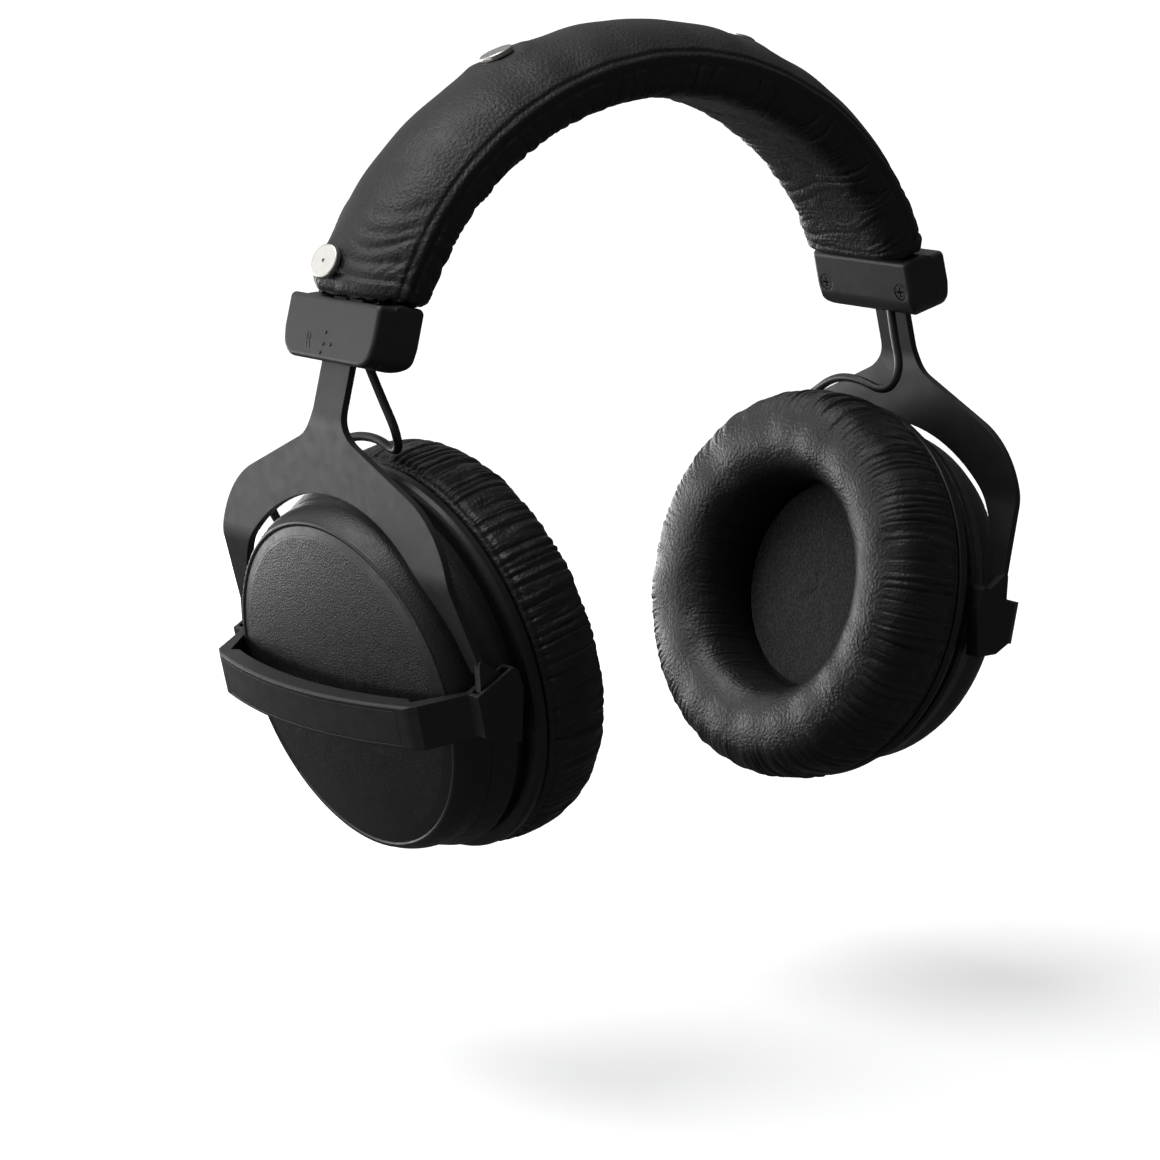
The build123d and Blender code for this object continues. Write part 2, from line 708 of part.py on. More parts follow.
def make_driver_basket():
    """Driver frame: mounting flange, side wall and back plate with the magnet's gap."""
    low, flange, back = BAFFLE_THICKNESS + 0.05, 3.5, 9.8
    wall, gap = DRIVER_RADIUS + 0.2, COIL_RADIUS + 0.8
    with BuildPart() as basket:
        revolve(ring_section(
            (wall - 1.8, low), (wall + 2.3, low), (wall + 2.3, flange), (wall, flange), (wall, back),
            (gap, back), (gap, back - 1.2), (wall - 1.8, back - 1.2),
        ), axis=CUP_AXIS)
    return basket.part


def make_driver_magnet():
    """Magnet pot behind the basket, with its pole piece standing inside the coil."""
    pole, front, edge = COIL_RADIUS - 0.8, 9.9, 0.5
    with BuildPart() as magnet:
        revolve(ring_section(
            (0.0, 6.0), (pole, 6.0), (pole, front), (MAGNET_RADIUS - edge, front),
            (MAGNET_RADIUS, front + edge), (MAGNET_RADIUS, MAGNET_OUT - edge),
            (MAGNET_RADIUS - edge, MAGNET_OUT), (0.0, MAGNET_OUT),
        ), axis=CUP_AXIS)
    return magnet.part


def make_damping_felt():
    """Felt disc inside the cap that quiets the closed back."""
    with BuildPart() as felt:
        with BuildSketch(CUP.offset(FELT_OUT)):
            Circle(39.0)
        extrude(amount=2.0)
    return felt.part


def make_terminal_board():
    """Small solder board on the back of the baffle, near the lead's inlet."""
    with BuildPart() as board:
        with BuildSketch(CUP.offset(BAFFLE_THICKNESS + 0.05)):
            with Locations(BOARD_PLACE):
                Rectangle(11.0, 7.0)
        extrude(amount=1.2)
        with BuildSketch(CUP.offset(BAFFLE_THICKNESS + 1.25)):
            with Locations(BOARD_PLACE):
                with GridLocations(3.2, 3.0, 3, 2):
                    Circle(0.7)
        extrude(amount=0.4)
    return board.part


def make_lead_grommet():
    """Rubber grommet where the lead enters the cup."""
    with BuildPart() as grommet:
        with BuildSketch(inlet_plane()):
            Circle(2.9)
        extrude(amount=1.3)
        with BuildSketch(inlet_plane()):
            Circle(1.9)
        extrude(amount=-4.6)
        with BuildSketch(inlet_plane().offset(3.0)):
            Circle(LEAD_RADIUS + 0.05)
        extrude(amount=-9.0, mode=Mode.SUBTRACT)
    return grommet.part


def strap_arc(out, half):
    """Arc of the strap's plan view at a distance out from the seat, from one end to the other."""
    radius = STRAP_RADIUS - (STRAP_OUT - out)
    drop = radius - sqrt(radius**2 - half**2)
    return ThreePointArc((-half, out - drop), (0, out), (half, out - drop))


def side_plane(y, distance):
    """Plane across the head at a distance to the front or back, with X out and Y up or down."""
    origin = CUP.from_local_coords((-y * distance, 0, 0))
    return Plane(origin=origin, x_dir=CUP.z_dir, z_dir=(0, y, 0))


def make_bracket():
    """Strap across the outside of the cup, with a pivot block at each end that holds the yoke."""
    inner_out = STRAP_OUT - STRAP_THICKNESS
    slot = LUG_RADIUS + LUG_GAP
    with BuildPart() as bracket:
        with BuildSketch(CUP_SECTION):
            with BuildLine():
                outer = strap_arc(STRAP_OUT, STRAP_HALF)
                inner = strap_arc(inner_out, STRAP_HALF - 3.4)
                for end in (0, 1):
                    y = 1 if end else -1
                    Polyline(
                        outer @ end, (y * (STRAP_HALF + 2.6), 30.0), (y * (BLOCK_OUTSIDE - 3.2), 18.0),
                        (y * BLOCK_OUTSIDE, 17.0), (y * BLOCK_OUTSIDE, 15.0), (y * BLOCK_INSIDE, 15.0),
                        (y * BLOCK_INSIDE, 17.5), (y * (STRAP_HALF - 1.2), 29.0), inner @ end,
                    )
            make_face()
        extrude(amount=STRAP_HEIGHT / 2, both=True)
        outer_face = bracket.faces().filter_by(GeomType.CYLINDER).sort_by(SortBy.AREA)[-1]
        chamfer(outer_face.edges(), length=0.5)
        for y in (-1, 1):
            with BuildSketch(side_plane(y, BLOCK_INSIDE)):
                with BuildLine():
                    Polyline(
                        (BLOCK_IN + 3.5, y * BLOCK_LOW), (BLOCK_OUT - 3.6, y * (BLOCK_LOW + 1.4)),
                        (BLOCK_OUT, y * (BLOCK_LOW + 4.4)), (BLOCK_OUT, y * 5.4),
                        (BLOCK_IN + 1.7, y * 8.7), (BLOCK_IN + 0.7, y * 7.8), (BLOCK_IN, y * 2.8),
                        close=True,
                    )
                make_face()
            extrude(amount=BLOCK_OUTSIDE - BLOCK_INSIDE)
            with BuildSketch(side_plane(y, YOKE_HALF - LUG_THICKNESS - 0.3)):
                with Locations((PIVOT_OUT, y * PIVOT_UP)):
                    Circle(slot)
                with BuildLine():
                    Polyline(
                        (PIVOT_OUT - slot, y * PIVOT_UP), (PIVOT_OUT + slot, y * PIVOT_UP),
                        (PIVOT_OUT + slot + 10.0 * tan(radians(TILT_ROOM)), y * (PIVOT_UP + 10.0)),
                        (PIVOT_OUT - slot, y * (PIVOT_UP + 10.0)), close=True,
                    )
                make_face()
            extrude(amount=LUG_THICKNESS + 0.6, mode=Mode.SUBTRACT)
            with BuildSketch(side_plane(y, 0)):
                with Locations((PIVOT_OUT, y * PIVOT_UP)):
                    Circle(PIN_RADIUS + 0.05)
            extrude(amount=BLOCK_OUTSIDE - PIN_COVER, mode=Mode.SUBTRACT)
            with BuildSketch(bracket_screw_plane(y)):
                Circle(BRACKET_SCREW_RADIUS + 0.03)
            extrude(amount=7.6, mode=Mode.SUBTRACT)
        with BuildSketch(CUP.offset(BLOCK_IN - 1.0)):
            Circle(SHELL_RADIUS + 0.15)
        extrude(amount=10.5, mode=Mode.SUBTRACT)
        extrude(plate_section(0.15), amount=PLATE_HEIGHT / 2 + 0.15, both=True, mode=Mode.SUBTRACT)
    return bracket.part


def plate_section(grow):
    """Plan view of the name plate, grown all round, on the strap's outer face."""
    half = PLATE_HALF + grow
    with BuildSketch(CUP_SECTION) as section:
        with BuildLine():
            outer = strap_arc(STRAP_OUT + grow, half)
            inner = strap_arc(STRAP_OUT - PLATE_DEPTH, half)
            Line(outer @ 0, inner @ 0)
            Line(outer @ 1, inner @ 1)
        make_face()
    return section.sketch


def make_name_plate():
    """Plain inlaid plate on the strap, with no lettering."""
    with BuildPart() as plate:
        extrude(plate_section(0.0), amount=PLATE_HEIGHT / 2, both=True)
    return plate.part


def make_bracket_screws():
    """Screws from inside the cup's wall into the bracket's blocks."""
    with BuildPart() as screws:
        for y in (-1, 1):
            with BuildSketch(bracket_screw_plane(y)):
                Circle(BRACKET_SCREW_RADIUS)
            extrude(amount=7.4)
            with BuildSketch(bracket_screw_plane(y)):
                Circle(BRACKET_SCREW_RADIUS + 1.0)
            extrude(amount=-1.4)
    return screws.part


def lead_path():
    """Route of the slack lead, with each corner's arc as large as its runs allow."""
    points = [Vector(*p) for p in LEAD_ROUTE]
    radii = []
    for before, here, after in zip(points[:-2], points[1:-1], points[2:]):
        turn = (here - before).get_angle(after - here)
        shorter = min((here - before).length, (after - here).length)
        radii.append(LEAD_FILL * shorter / tan(radians(turn / 2)))
    return points, radii


def make_lead():
    """Thin round lead from the slider's underside, behind the yoke, into the cup."""
    points, radii = lead_path()
    with BuildPart() as lead:
        with BuildLine() as path:
            FilletPolyline(*points, radius=radii)
        start = Plane(origin=path.line @ 0, z_dir=path.line % 0)
        with BuildSketch(start):
            Circle(LEAD_RADIUS)
        sweep(path=path.wire())
    length = path.wire().length
    print("lead length %.1f, radii" % length, [round(r, 1) for r in radii])
    section = pi * LEAD_RADIUS**2
    print("lead volume %.1f, section x length %.1f" % (lead.part.volume, section * length))
    return lead.part


def gland_plane():
    """Plane on the bottom of the cup's wall, with Z pointing down and out of the cup."""
    origin = CUP.from_local_coords((0, -SHELL_RADIUS - 0.2, GLAND_OUT))
    return Plane(origin=origin, x_dir=CUP.x_dir, z_dir=-CUP.y_dir)


def make_cable_gland():
    """Bush in the cup's bottom that the main cable would pass through."""
    with BuildPart() as gland:
        with BuildSketch(gland_plane()):
            Circle(GLAND_FLANGE)
        extrude(amount=2.0)
        fillet(gland.edges().group_by(Axis(gland_plane().origin, gland_plane().z_dir))[-1], radius=0.6)
        with BuildSketch(gland_plane()):
            Circle(GLAND_RADIUS - 0.05)
        extrude(amount=-6.0)
        with BuildSketch(gland_plane().offset(4.0)):
            Circle(GLAND_BORE)
        extrude(amount=-12.0, mode=Mode.SUBTRACT)
    return gland.part


def gland_hole():
    """Cutter for the gland's round seat in the cup's wall."""
    with BuildPart() as cutter:
        with BuildSketch(gland_plane().offset(4.0)):
            Circle(GLAND_RADIUS)
        extrude(amount=-12.0)
    return cutter.part


SHARED = {
    "spring_band": make_spring_band,
    "headband_cover": make_headband_cover,
    "headband_foam": make_headband_foam,
    "snap_caps": make_snap_caps,
    "snap_sockets": make_snap_sockets,
    "crossover_lead": make_crossover_lead,
}

EACH_SIDE = {
    "slider_base": make_slider_base,
    "slider_cover": make_slider_cover,
    "slider_screws": make_slider_screws,
    "detent_spring": make_detent_spring,
    "yoke": make_yoke,
    "pivot_pins": make_pivot_pins,
    "lead": make_lead,
    "lead_grommet": make_lead_grommet,
    "bracket": make_bracket,
    "bracket_screws": make_bracket_screws,
    "name_plate": make_name_plate,
    "cup_cap": make_cup_cap,
    "cup_shell": make_cup_shell,
    "pad_ring": make_pad_ring,
    "baffle": make_baffle,
    "driver_grille": make_driver_grille,
    "driver_basket": make_driver_basket,
    "driver_magnet": make_driver_magnet,
    "diaphragm": make_diaphragm,
    "voice_coil": make_voice_coil,
    "damping_felt": make_damping_felt,
    "terminal_board": make_terminal_board,
    "foam_disc": make_foam_disc,
    "ear_pad": make_ear_pad,
}


def save(part, name):
    """Label one piece and write it."""
    part.label = name
    export_step(part, f"parts/{name}.step")


os.makedirs("parts", exist_ok=True)
for name, make in SHARED.items():
    save(make(), name)
for name, make in EACH_SIDE.items():
    right = make()
    left = mirror(right, about=Plane.YZ)
    if name == "cup_shell":
        left = left - mirror(gland_hole(), about=Plane.YZ)
    save(right, name + "_right")
    save(left, name + "_left")
save(mirror(make_cable_gland(), about=Plane.YZ), "cable_gland_left")
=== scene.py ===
import json
from math import cos, pi, radians, sin, sqrt, tan

import bpy
import numpy as np
from mathutils import Matrix, Vector


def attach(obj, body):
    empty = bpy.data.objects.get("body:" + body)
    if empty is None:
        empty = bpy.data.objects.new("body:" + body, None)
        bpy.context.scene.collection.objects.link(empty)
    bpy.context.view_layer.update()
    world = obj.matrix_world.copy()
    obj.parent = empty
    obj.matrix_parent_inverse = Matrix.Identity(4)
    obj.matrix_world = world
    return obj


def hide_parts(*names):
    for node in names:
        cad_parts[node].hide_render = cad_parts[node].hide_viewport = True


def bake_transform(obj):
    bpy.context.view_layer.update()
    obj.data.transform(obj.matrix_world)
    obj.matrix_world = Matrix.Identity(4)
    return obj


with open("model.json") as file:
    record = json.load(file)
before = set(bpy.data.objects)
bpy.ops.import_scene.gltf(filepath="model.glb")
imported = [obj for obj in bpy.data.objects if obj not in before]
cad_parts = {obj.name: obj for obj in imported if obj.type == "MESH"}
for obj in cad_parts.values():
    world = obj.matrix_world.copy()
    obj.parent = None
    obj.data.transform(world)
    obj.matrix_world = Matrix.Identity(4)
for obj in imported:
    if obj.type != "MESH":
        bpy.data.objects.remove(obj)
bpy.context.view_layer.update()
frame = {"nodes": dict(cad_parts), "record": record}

MM = 0.001
SIDES = (("right", 1.0), ("left", -1.0))

# Headband: crown arc to 35 degrees of slope, then the side arc, both along the spring band
CROWN_RADIUS, SIDE_RADIUS = 94.24, 79.15
CROWN_END, SIDE_END = 35.0, 76.0
BAND_TOP = 10.4

# Headband sleeve: slope where it ends, crowned top, half of its underside as (y, rise), and its end
PAD_END = 68.6
PAD_HALF, PAD_ABOVE, PAD_EDGE = 18.1, 8.3, 0.8
PAD_TOP_HALF, PAD_TOP_POINTS = 15.4, 13
PAD_UNDER = ((17.3, 1.5), (18.2, -0.9), (18.3, -3.4), (17.5, -6.4), (15.6, -8.7), (12.6, -9.9), (8.5, -10.3))
PAD_LOWEST = -10.4
PAD_SEAM_Y = 18.0
SLEEVE_ROWS, SLEEVE_COLUMNS = 720, 208
WAVE_LENGTH = 520.0
END_SAG, END_ROUND, END_RINGS = 1.7, 4.2, 12
# Folds across the sleeve's rear end: distance from the hem, bend, width and depth
END_FOLDS = (
    (6.4, 0.02, 0.9, 0.40),
    (9.2, 0.05, 1.0, 0.50),
    (12.6, 0.045, 1.3, 0.34),
    (17.0, 0.06, 1.6, 0.22),
)
# Press studs: slopes of the upper and lower ones, their lean to the front and their distance from the middle
SNAP_SLOPES, SNAP_LEANS, SNAP_Y = (22.0, 65.7), (0.0, 15.0), 4.0

# Cup frame: centre of the ear pad's seat, outward axis tipped down
TILT = radians(13.1)
CUP = Vector((-66.5, 0.0, -132.0))
CUP_OUT = Vector((-cos(TILT), 0.0, -sin(TILT)))
CUP_FRONT = Vector((0.0, -1.0, 0.0))
CUP_UP = CUP_OUT.cross(CUP_FRONT)
# Smooth rim between the dome's grain and the shoulder's grain, as distances from the cup's axis in metres
RIM_INNER, RIM_OUTER = (0.0378, 0.0384), (0.0416, 0.0422)

# Ear cushion: cross-section as (distance from the axis, height out of the seat)
EAR_SECTION = (
    (29.2, -0.25), (38.0, -0.25), (46.5, -0.3), (49.2, -0.7), (50.1, -2.6), (50.6, -7.5),
    (50.4, -12.5), (48.6, -17.4), (45.0, -20.4), (39.6, -21.6), (34.2, -20.9), (30.0, -18.2),
    (27.9, -13.5), (27.6, -8.0), (28.1, -3.0),
)
EAR_ROWS, EAR_COLUMNS = 1080, 132
EAR_PLEATS, EAR_FINE_PLEATS = 104, 104 * 1.7
EAR_SEEDS = {"right": 11, "left": 12}

# Gathered ridges: power that sharpens the valleys, and their average height
DEEP, SHALLOW = (0.6, 0.62), (0.7, 0.6)

# Foam disc: outer radius, heights of its edge and of its face, thickness behind the edge, and the share of
# the radius where the edge starts to roll
FOAM_RADIUS, FOAM_EDGE, FOAM_FACE, FOAM_BACK, FOAM_ROLL = 26.9, -1.55, -2.3, 0.85, 0.96
FOAM_RINGS, FOAM_TURNS = 60, 240

# Slider frame: outward axis tipped up
LEAN = radians(14.0)
SLIDER = Vector((-86.9, 0.0, -51.6))
SLIDER_OUT = Vector((-cos(LEAN), 0.0, sin(LEAN)))
SLIDER_UP = Vector((sin(LEAN), 0.0, cos(LEAN)))
SLIDER_FACE = 4.8
# Marks on the slider's face as (across, up): the side letter, and the pips, all four on the right side only
LETTER_PLACE, LETTER_SIZE, LETTER_WIDTH = (-7.4, -3.4), 5.2, 0.72
PIPS = ((-1.0, -0.8), (-1.2, -3.6), (1.6, -3.5), (-1.9, -5.7))
PIP_COUNTS = {"right": 4, "left": 2}
PIP_RADIUS, PIP_HEIGHT, PIP_RINGS, PIP_TURNS = 0.5, 0.34, 7, 20

# Slack lead of the right side, and where it passes behind the yoke
LEAD_RADIUS, LEAD_SIDES = 1.1, 20
LEAD_ROUTE = (
    (-83.89, -4.6, -58.53), (-82.4, -8.0, -66.5), (-81.0, -12.2, -74.5), (-78.4, -9.5, -80.6),
    (-77.6, 0.5, -77.6), (-78.4, 11.0, -78.5), (-79.9, 21.5, -84.5), (-81.2, 33.0, -90.5),
    (-82.2, 40.8, -96.0), (-81.06, 39.56, -102.50), (-79.85, 32.95, -107.71),
)
LEAD_MIDDLE = (-78.2, 8.0, -78.0)

FLOOR_Z, FLOOR_HALF = -0.239, 20.0

# Camera and lights, in metres and degrees
CAMERA_PLACE, CAMERA_AZIMUTH, CAMERA_ELEVATION = (-0.64011, -0.78417, 0.07849), -38.515, 11.20
CAMERA_LENS, CAMERA_SENSOR = 126.8, 36.0
BRIGHT_SIDE = Vector((-0.55, 0.62, 0.62)).normalized()
KEY_FROM = Vector((-0.45, 0.30, 1.0)).normalized()
# Softboxes: place, what they point at, size and power
SOFTBOXES = {
    "box_left": ((-0.50, 0.42, 0.04), (-0.09, 0.02, -0.10), (0.40, 0.55), 0.55),
    "box_low": ((-0.55, 0.10, -0.21), (-0.09, 0.0, -0.17), (0.5, 0.12), 0.5),
    "box_behind": ((-0.12, 0.62, -0.15), (-0.09, 0.0, -0.15), (0.9, 0.18), 2.2),
}


# ---------------------------------------------------------------- camera, floor and light

def add_object(name, data):
    """New object in the scene's own collection."""
    made = bpy.data.objects.new(name, data)
    bpy.context.scene.collection.objects.link(made)
    return made


def node(tree, kind, inputs=None, **properties):
    """Add a node with its properties and the values of its inputs."""
    made = tree.nodes.new(kind)
    for key, value in properties.items():
        setattr(made, key, value)
    for key, value in (inputs or {}).items():
        made.inputs[key].default_value = value
    return made


def link(tree, source, target):
    tree.links.new(source, target)


def link_surface(tree, output_kind, lit, seen):
    """Output one shader to the camera, and another to every other ray."""
    out = node(tree, output_kind)
    path = node(tree, "ShaderNodeLightPath")
    mix = node(tree, "ShaderNodeMixShader")
    link(tree, path.outputs["Is Camera Ray"], mix.inputs["Fac"])
    link(tree, lit.outputs[0], mix.inputs[1])
    link(tree, seen.outputs[0], mix.inputs[2])
    link(tree, mix.outputs[0], out.inputs["Surface"])


def make_camera():
    """Camera at the photograph's place: a long lens from the front left, a little above."""
    azimuth, elevation = radians(CAMERA_AZIMUTH), radians(CAMERA_ELEVATION)
    back = Vector((sin(azimuth) * cos(elevation), -cos(azimuth) * cos(elevation), sin(elevation)))
    right = Vector((cos(azimuth), sin(azimuth), 0.0))
    up = back.cross(right)
    data = bpy.data.cameras.new("camera")
    data.sensor_width = CAMERA_SENSOR
    data.lens = CAMERA_LENS
    data.clip_start, data.clip_end = 0.05, 60.0
    camera = add_object("camera", data)
    turn = Matrix((right, up, back)).transposed().to_4x4()
    camera.matrix_world = Matrix.Translation(CAMERA_PLACE) @ turn
    bpy.context.scene.camera = camera


def make_world():
    """Studio surround: bright above and at the camera's left, dark opposite, white to the camera."""
    world = bpy.data.worlds.new("studio")
    bpy.context.scene.world = world
    world.use_nodes = True
    tree = world.node_tree
    tree.nodes.clear()
    direction = node(tree, "ShaderNodeTexCoord").outputs["Generated"]
    facing = node(tree, "ShaderNodeVectorMath", {1: BRIGHT_SIDE}, operation="DOT_PRODUCT")
    link(tree, direction, facing.inputs[0])
    span = {"From Min": -0.25, "From Max": 0.95, "To Min": 0.06, "To Max": 0.55}
    ramp = node(tree, "ShaderNodeMapRange", span, interpolation_type="SMOOTHSTEP")
    link(tree, facing.outputs["Value"], ramp.inputs["Value"])
    light = node(tree, "ShaderNodeBackground", {"Color": (0.97, 0.98, 1.0, 1.0)})
    link(tree, ramp.outputs["Result"], light.inputs["Strength"])
    seen = node(tree, "ShaderNodeBackground", {"Color": (1.0, 1.0, 1.0, 1.0)})
    link_surface(tree, "ShaderNodeOutputWorld", light, seen)


def make_lights():
    """One soft overhead key, a softbox at the left, and low strips at the left and behind."""
    sun = bpy.data.lights.new("overhead", "SUN")
    sun.energy = 1.5
    sun.angle = radians(45.0)
    lamp = add_object("overhead", sun)
    lamp.rotation_euler = KEY_FROM.to_track_quat("Z", "Y").to_euler()
    for name, (place, aim, size, power) in SOFTBOXES.items():
        data = bpy.data.lights.new(name, "AREA")
        data.shape = "RECTANGLE"
        data.size, data.size_y = size
        data.energy = power
        box = add_object(name, data)
        box.location = place
        box.rotation_euler = (Vector(place) - Vector(aim)).to_track_quat("Z", "Y").to_euler()
        box.visible_camera = False


def make_floor():
    """Plain pale floor, darker in reflections than it looks to the camera."""
    corners = [(-1, -1), (1, -1), (1, 1), (-1, 1)]
    mesh = bpy.data.meshes.new("floor")
    mesh.from_pydata([(FLOOR_HALF * x, FLOOR_HALF * y, FLOOR_Z) for x, y in corners], [], [(0, 1, 2, 3)])
    floor = add_object("floor", mesh)
    material = bpy.data.materials.new("floor_paper")
    material.use_nodes = True
    tree = material.node_tree
    tree.nodes.clear()
    pale = node(tree, "ShaderNodeBsdfDiffuse", {"Color": (0.93, 0.93, 0.93, 1.0)})
    dim = node(tree, "ShaderNodeBsdfDiffuse", {"Color": (0.10, 0.10, 0.10, 1.0)})
    lift = node(tree, "ShaderNodeEmission", {"Color": (1.0, 1.0, 1.0, 1.0), "Strength": 0.42})
    bright = node(tree, "ShaderNodeAddShader")
    link(tree, pale.outputs[0], bright.inputs[0])
    link(tree, lift.outputs[0], bright.inputs[1])
    link_surface(tree, "ShaderNodeOutputMaterial", dim, bright)
    mesh.materials.append(material)


# ---------------------------------------------------------------- materials

def mixed(tree, low, high, factor):
    """Mix of two colours by a factor socket."""
    mix = node(tree, "ShaderNodeMix", {"A": (*low, 1.0), "B": (*high, 1.0)}, data_type="RGBA")
    link(tree, factor, mix.inputs["Factor"])
    return mix.outputs["Result"]


def noise(tree, place, scale, detail=3.0, rough=0.55, distortion=0.0):
    """Noise in the object's own metres, with scale in cycles per metre."""
    values = {"Scale": scale, "Detail": detail, "Roughness": rough, "Distortion": distortion}
    made = node(tree, "ShaderNodeTexNoise", values)
    link(tree, place, made.inputs["Vector"])
    return made.outputs["Fac"]


def cells(tree, place, scale, feature="SMOOTH_F1"):
    """Distance pattern of small cells, with scale in cells per metre."""
    made = node(tree, "ShaderNodeTexVoronoi", {"Scale": scale}, feature=feature)
    link(tree, place, made.inputs["Vector"])
    return made.outputs["Distance"]


def remap(tree, value, low, high, to_low=0.0, to_high=1.0):
    """Value from one range to another, clamped."""
    span = {"From Min": low, "From Max": high, "To Min": to_low, "To Max": to_high}
    made = node(tree, "ShaderNodeMapRange", span)
    link(tree, value, made.inputs["Value"])
    return made.outputs["Result"]


def maths(tree, operation, a, b):
    """One maths node on sockets or numbers."""
    made = node(tree, "ShaderNodeMath", operation=operation)
    for socket, value in zip(made.inputs, (a, b)):
        if isinstance(value, (int, float)):
            socket.default_value = value
        else:
            link(tree, value, socket)
    return made.outputs[0]


def vector_maths(tree, operation, socket, fixed):
    """One vector maths node on a socket and a fixed vector."""
    made = node(tree, "ShaderNodeVectorMath", {1: fixed}, operation=operation)
    link(tree, socket, made.inputs[0])
    return made.outputs[0]


def bump(tree, height, strength, distance, normal=None):
    """Bump from a height socket."""
    made = node(tree, "ShaderNodeBump", {"Strength": strength, "Distance": distance})
    link(tree, height, made.inputs["Height"])
    if normal is not None:
        link(tree, normal, made.inputs["Normal"])
    return made.outputs["Normal"]


def rounded(tree, radius):
    """Normal that rounds sharp edges by a radius in metres."""
    return node(tree, "ShaderNodeBevel", {"Radius": radius}, samples=4).outputs[0]


def start(name, metallic=0.0, specular=0.5, sheen=0.0):
    """New material with a principled shader: returns it, its tree, its shader and object coordinates."""
    material = bpy.data.materials.new(name)
    material.use_nodes = True
    tree = material.node_tree
    shader = tree.nodes["Principled BSDF"]
    shader.inputs["Metallic"].default_value = metallic
    shader.inputs["Specular IOR Level"].default_value = specular
    shader.inputs["Sheen Weight"].default_value = sheen
    return material, tree, shader, node(tree, "ShaderNodeTexCoord").outputs["Object"]


def dress(tree, shader, colour, roughness, normal):
    """Link a shader's colour, roughness and normal."""
    for name, socket in (("Base Color", colour), ("Roughness", roughness), ("Normal", normal)):
        link(tree, socket, shader.inputs[name])


def leatherette(name, dark, light, rough=(0.38, 0.56), grain=1350.0, depth=0.0002):
    """Black leatherette: fine pebbled grain, faint wear and uneven gloss."""
    material, tree, shader, place = start(name)
    blotch = remap(tree, noise(tree, place, 60.0, 4.0), 0.35, 0.7)
    uneven = remap(tree, noise(tree, place, 120.0, 5.0), 0.3, 0.7, *rough)
    fine = noise(tree, place, grain * 2.2, 2.0)
    creases = noise(tree, place, grain * 0.28, 4.0, 0.6, distortion=0.6)
    pebbled = bump(tree, cells(tree, place, grain), 0.85, depth)
    grained = bump(tree, fine, 0.40, depth, pebbled)
    creased = bump(tree, creases, 0.30, depth * 2.0, grained)
    dress(tree, shader, mixed(tree, dark, light, blotch), uneven, creased)
    return material


def moulded(name, dark, light, rough, grain=2200.0, depth=0.00006, edge=0.0003, strength=0.5):
    """Moulded or coated surface: fine grain, rounded edges and uneven gloss."""
    material, tree, shader, place = start(name)
    cloud = remap(tree, noise(tree, place, 45.0, 5.0), 0.3, 0.72)
    uneven = remap(tree, noise(tree, place, 260.0, 4.0), 0.3, 0.7, *rough)
    height = noise(tree, place, grain, 3.0, 0.6)
    normal = bump(tree, height, strength, depth, rounded(tree, edge))
    dress(tree, shader, mixed(tree, dark, light, cloud), uneven, normal)
    return material


def metal(name, dark, light, rough, brushed=(1.0, 1.0, 1.0), edge=0.0002):
    """Bare or plated metal with fine scratches, drawn out along an axis where it is brushed."""
    material, tree, shader, place = start(name, metallic=1.0)
    mapping = node(tree, "ShaderNodeMapping", {"Scale": brushed})
    link(tree, place, mapping.inputs["Vector"])
    scratch = noise(tree, mapping.outputs[0], 1400.0, 3.0)
    colour = mixed(tree, dark, light, noise(tree, place, 300.0, 4.0))
    normal = bump(tree, scratch, 0.25, 0.00003, rounded(tree, edge))
    dress(tree, shader, colour, remap(tree, scratch, 0.3, 0.7, *rough), normal)
    return material


def axis_radius(tree, place, mirror):
    """Distance from the cup's axis, in metres."""
    centre = Vector((CUP.x * mirror, CUP.y, CUP.z)) * MM
    axis = Vector((CUP_OUT.x * mirror, CUP_OUT.y, CUP_OUT.z))
    away = vector_maths(tree, "SUBTRACT", place, centre)
    cross = vector_maths(tree, "CROSS_PRODUCT", away, axis)
    length = node(tree, "ShaderNodeVectorMath", operation="LENGTH")
    link(tree, cross, length.inputs[0])
    return length.outputs["Value"]


def grained_cup(name, mirror):
    """Cup plastic: leather-like grain on the dome and the shoulder, smooth on the rim and beside it."""
    material, tree, shader, place = start(name)
    radius = axis_radius(tree, place, mirror)
    inner = remap(tree, radius, *RIM_INNER, 1.0, 0.0)
    outer = remap(tree, radius, *RIM_OUTER)
    grain = maths(tree, "ADD", inner, outer)
    cloud = remap(tree, noise(tree, place, 50.0, 5.0), 0.3, 0.72)
    colour = mixed(tree, (0.010, 0.010, 0.0103), (0.017, 0.017, 0.0175), cloud)
    uneven = remap(tree, noise(tree, place, 380.0, 4.0), 0.3, 0.7, 0.30, 0.44)
    uneven = maths(tree, "ADD", uneven, maths(tree, "MULTIPLY", grain, 0.02))
    rough_grain = noise(tree, place, 2900.0, 3.0, 0.6, distortion=0.5)
    rough_grain = maths(tree, "MULTIPLY", rough_grain, 0.6)
    height = maths(tree, "ADD", cells(tree, place, 2300.0), rough_grain)
    height = maths(tree, "MULTIPLY", height, grain)
    dress(tree, shader, colour, uneven, bump(tree, height, 0.7, 0.00012, rounded(tree, 0.0003)))
    return material


def fabric(name, dark, light, scale, depth):
    """Felt or open-cell foam."""
    material, tree, shader, place = start(name, specular=0.25, sheen=0.2)
    pores = cells(tree, place, scale, "F1")
    hairs = noise(tree, place, scale * 2.0, 3.0)
    normal = bump(tree, hairs, 0.5, depth, bump(tree, pores, 0.9, depth))
    link(tree, mixed(tree, dark, light, remap(tree, pores, 0.1, 0.7)), shader.inputs["Base Color"])
    link(tree, normal, shader.inputs["Normal"])
    shader.inputs["Roughness"].default_value = 0.95
    return material


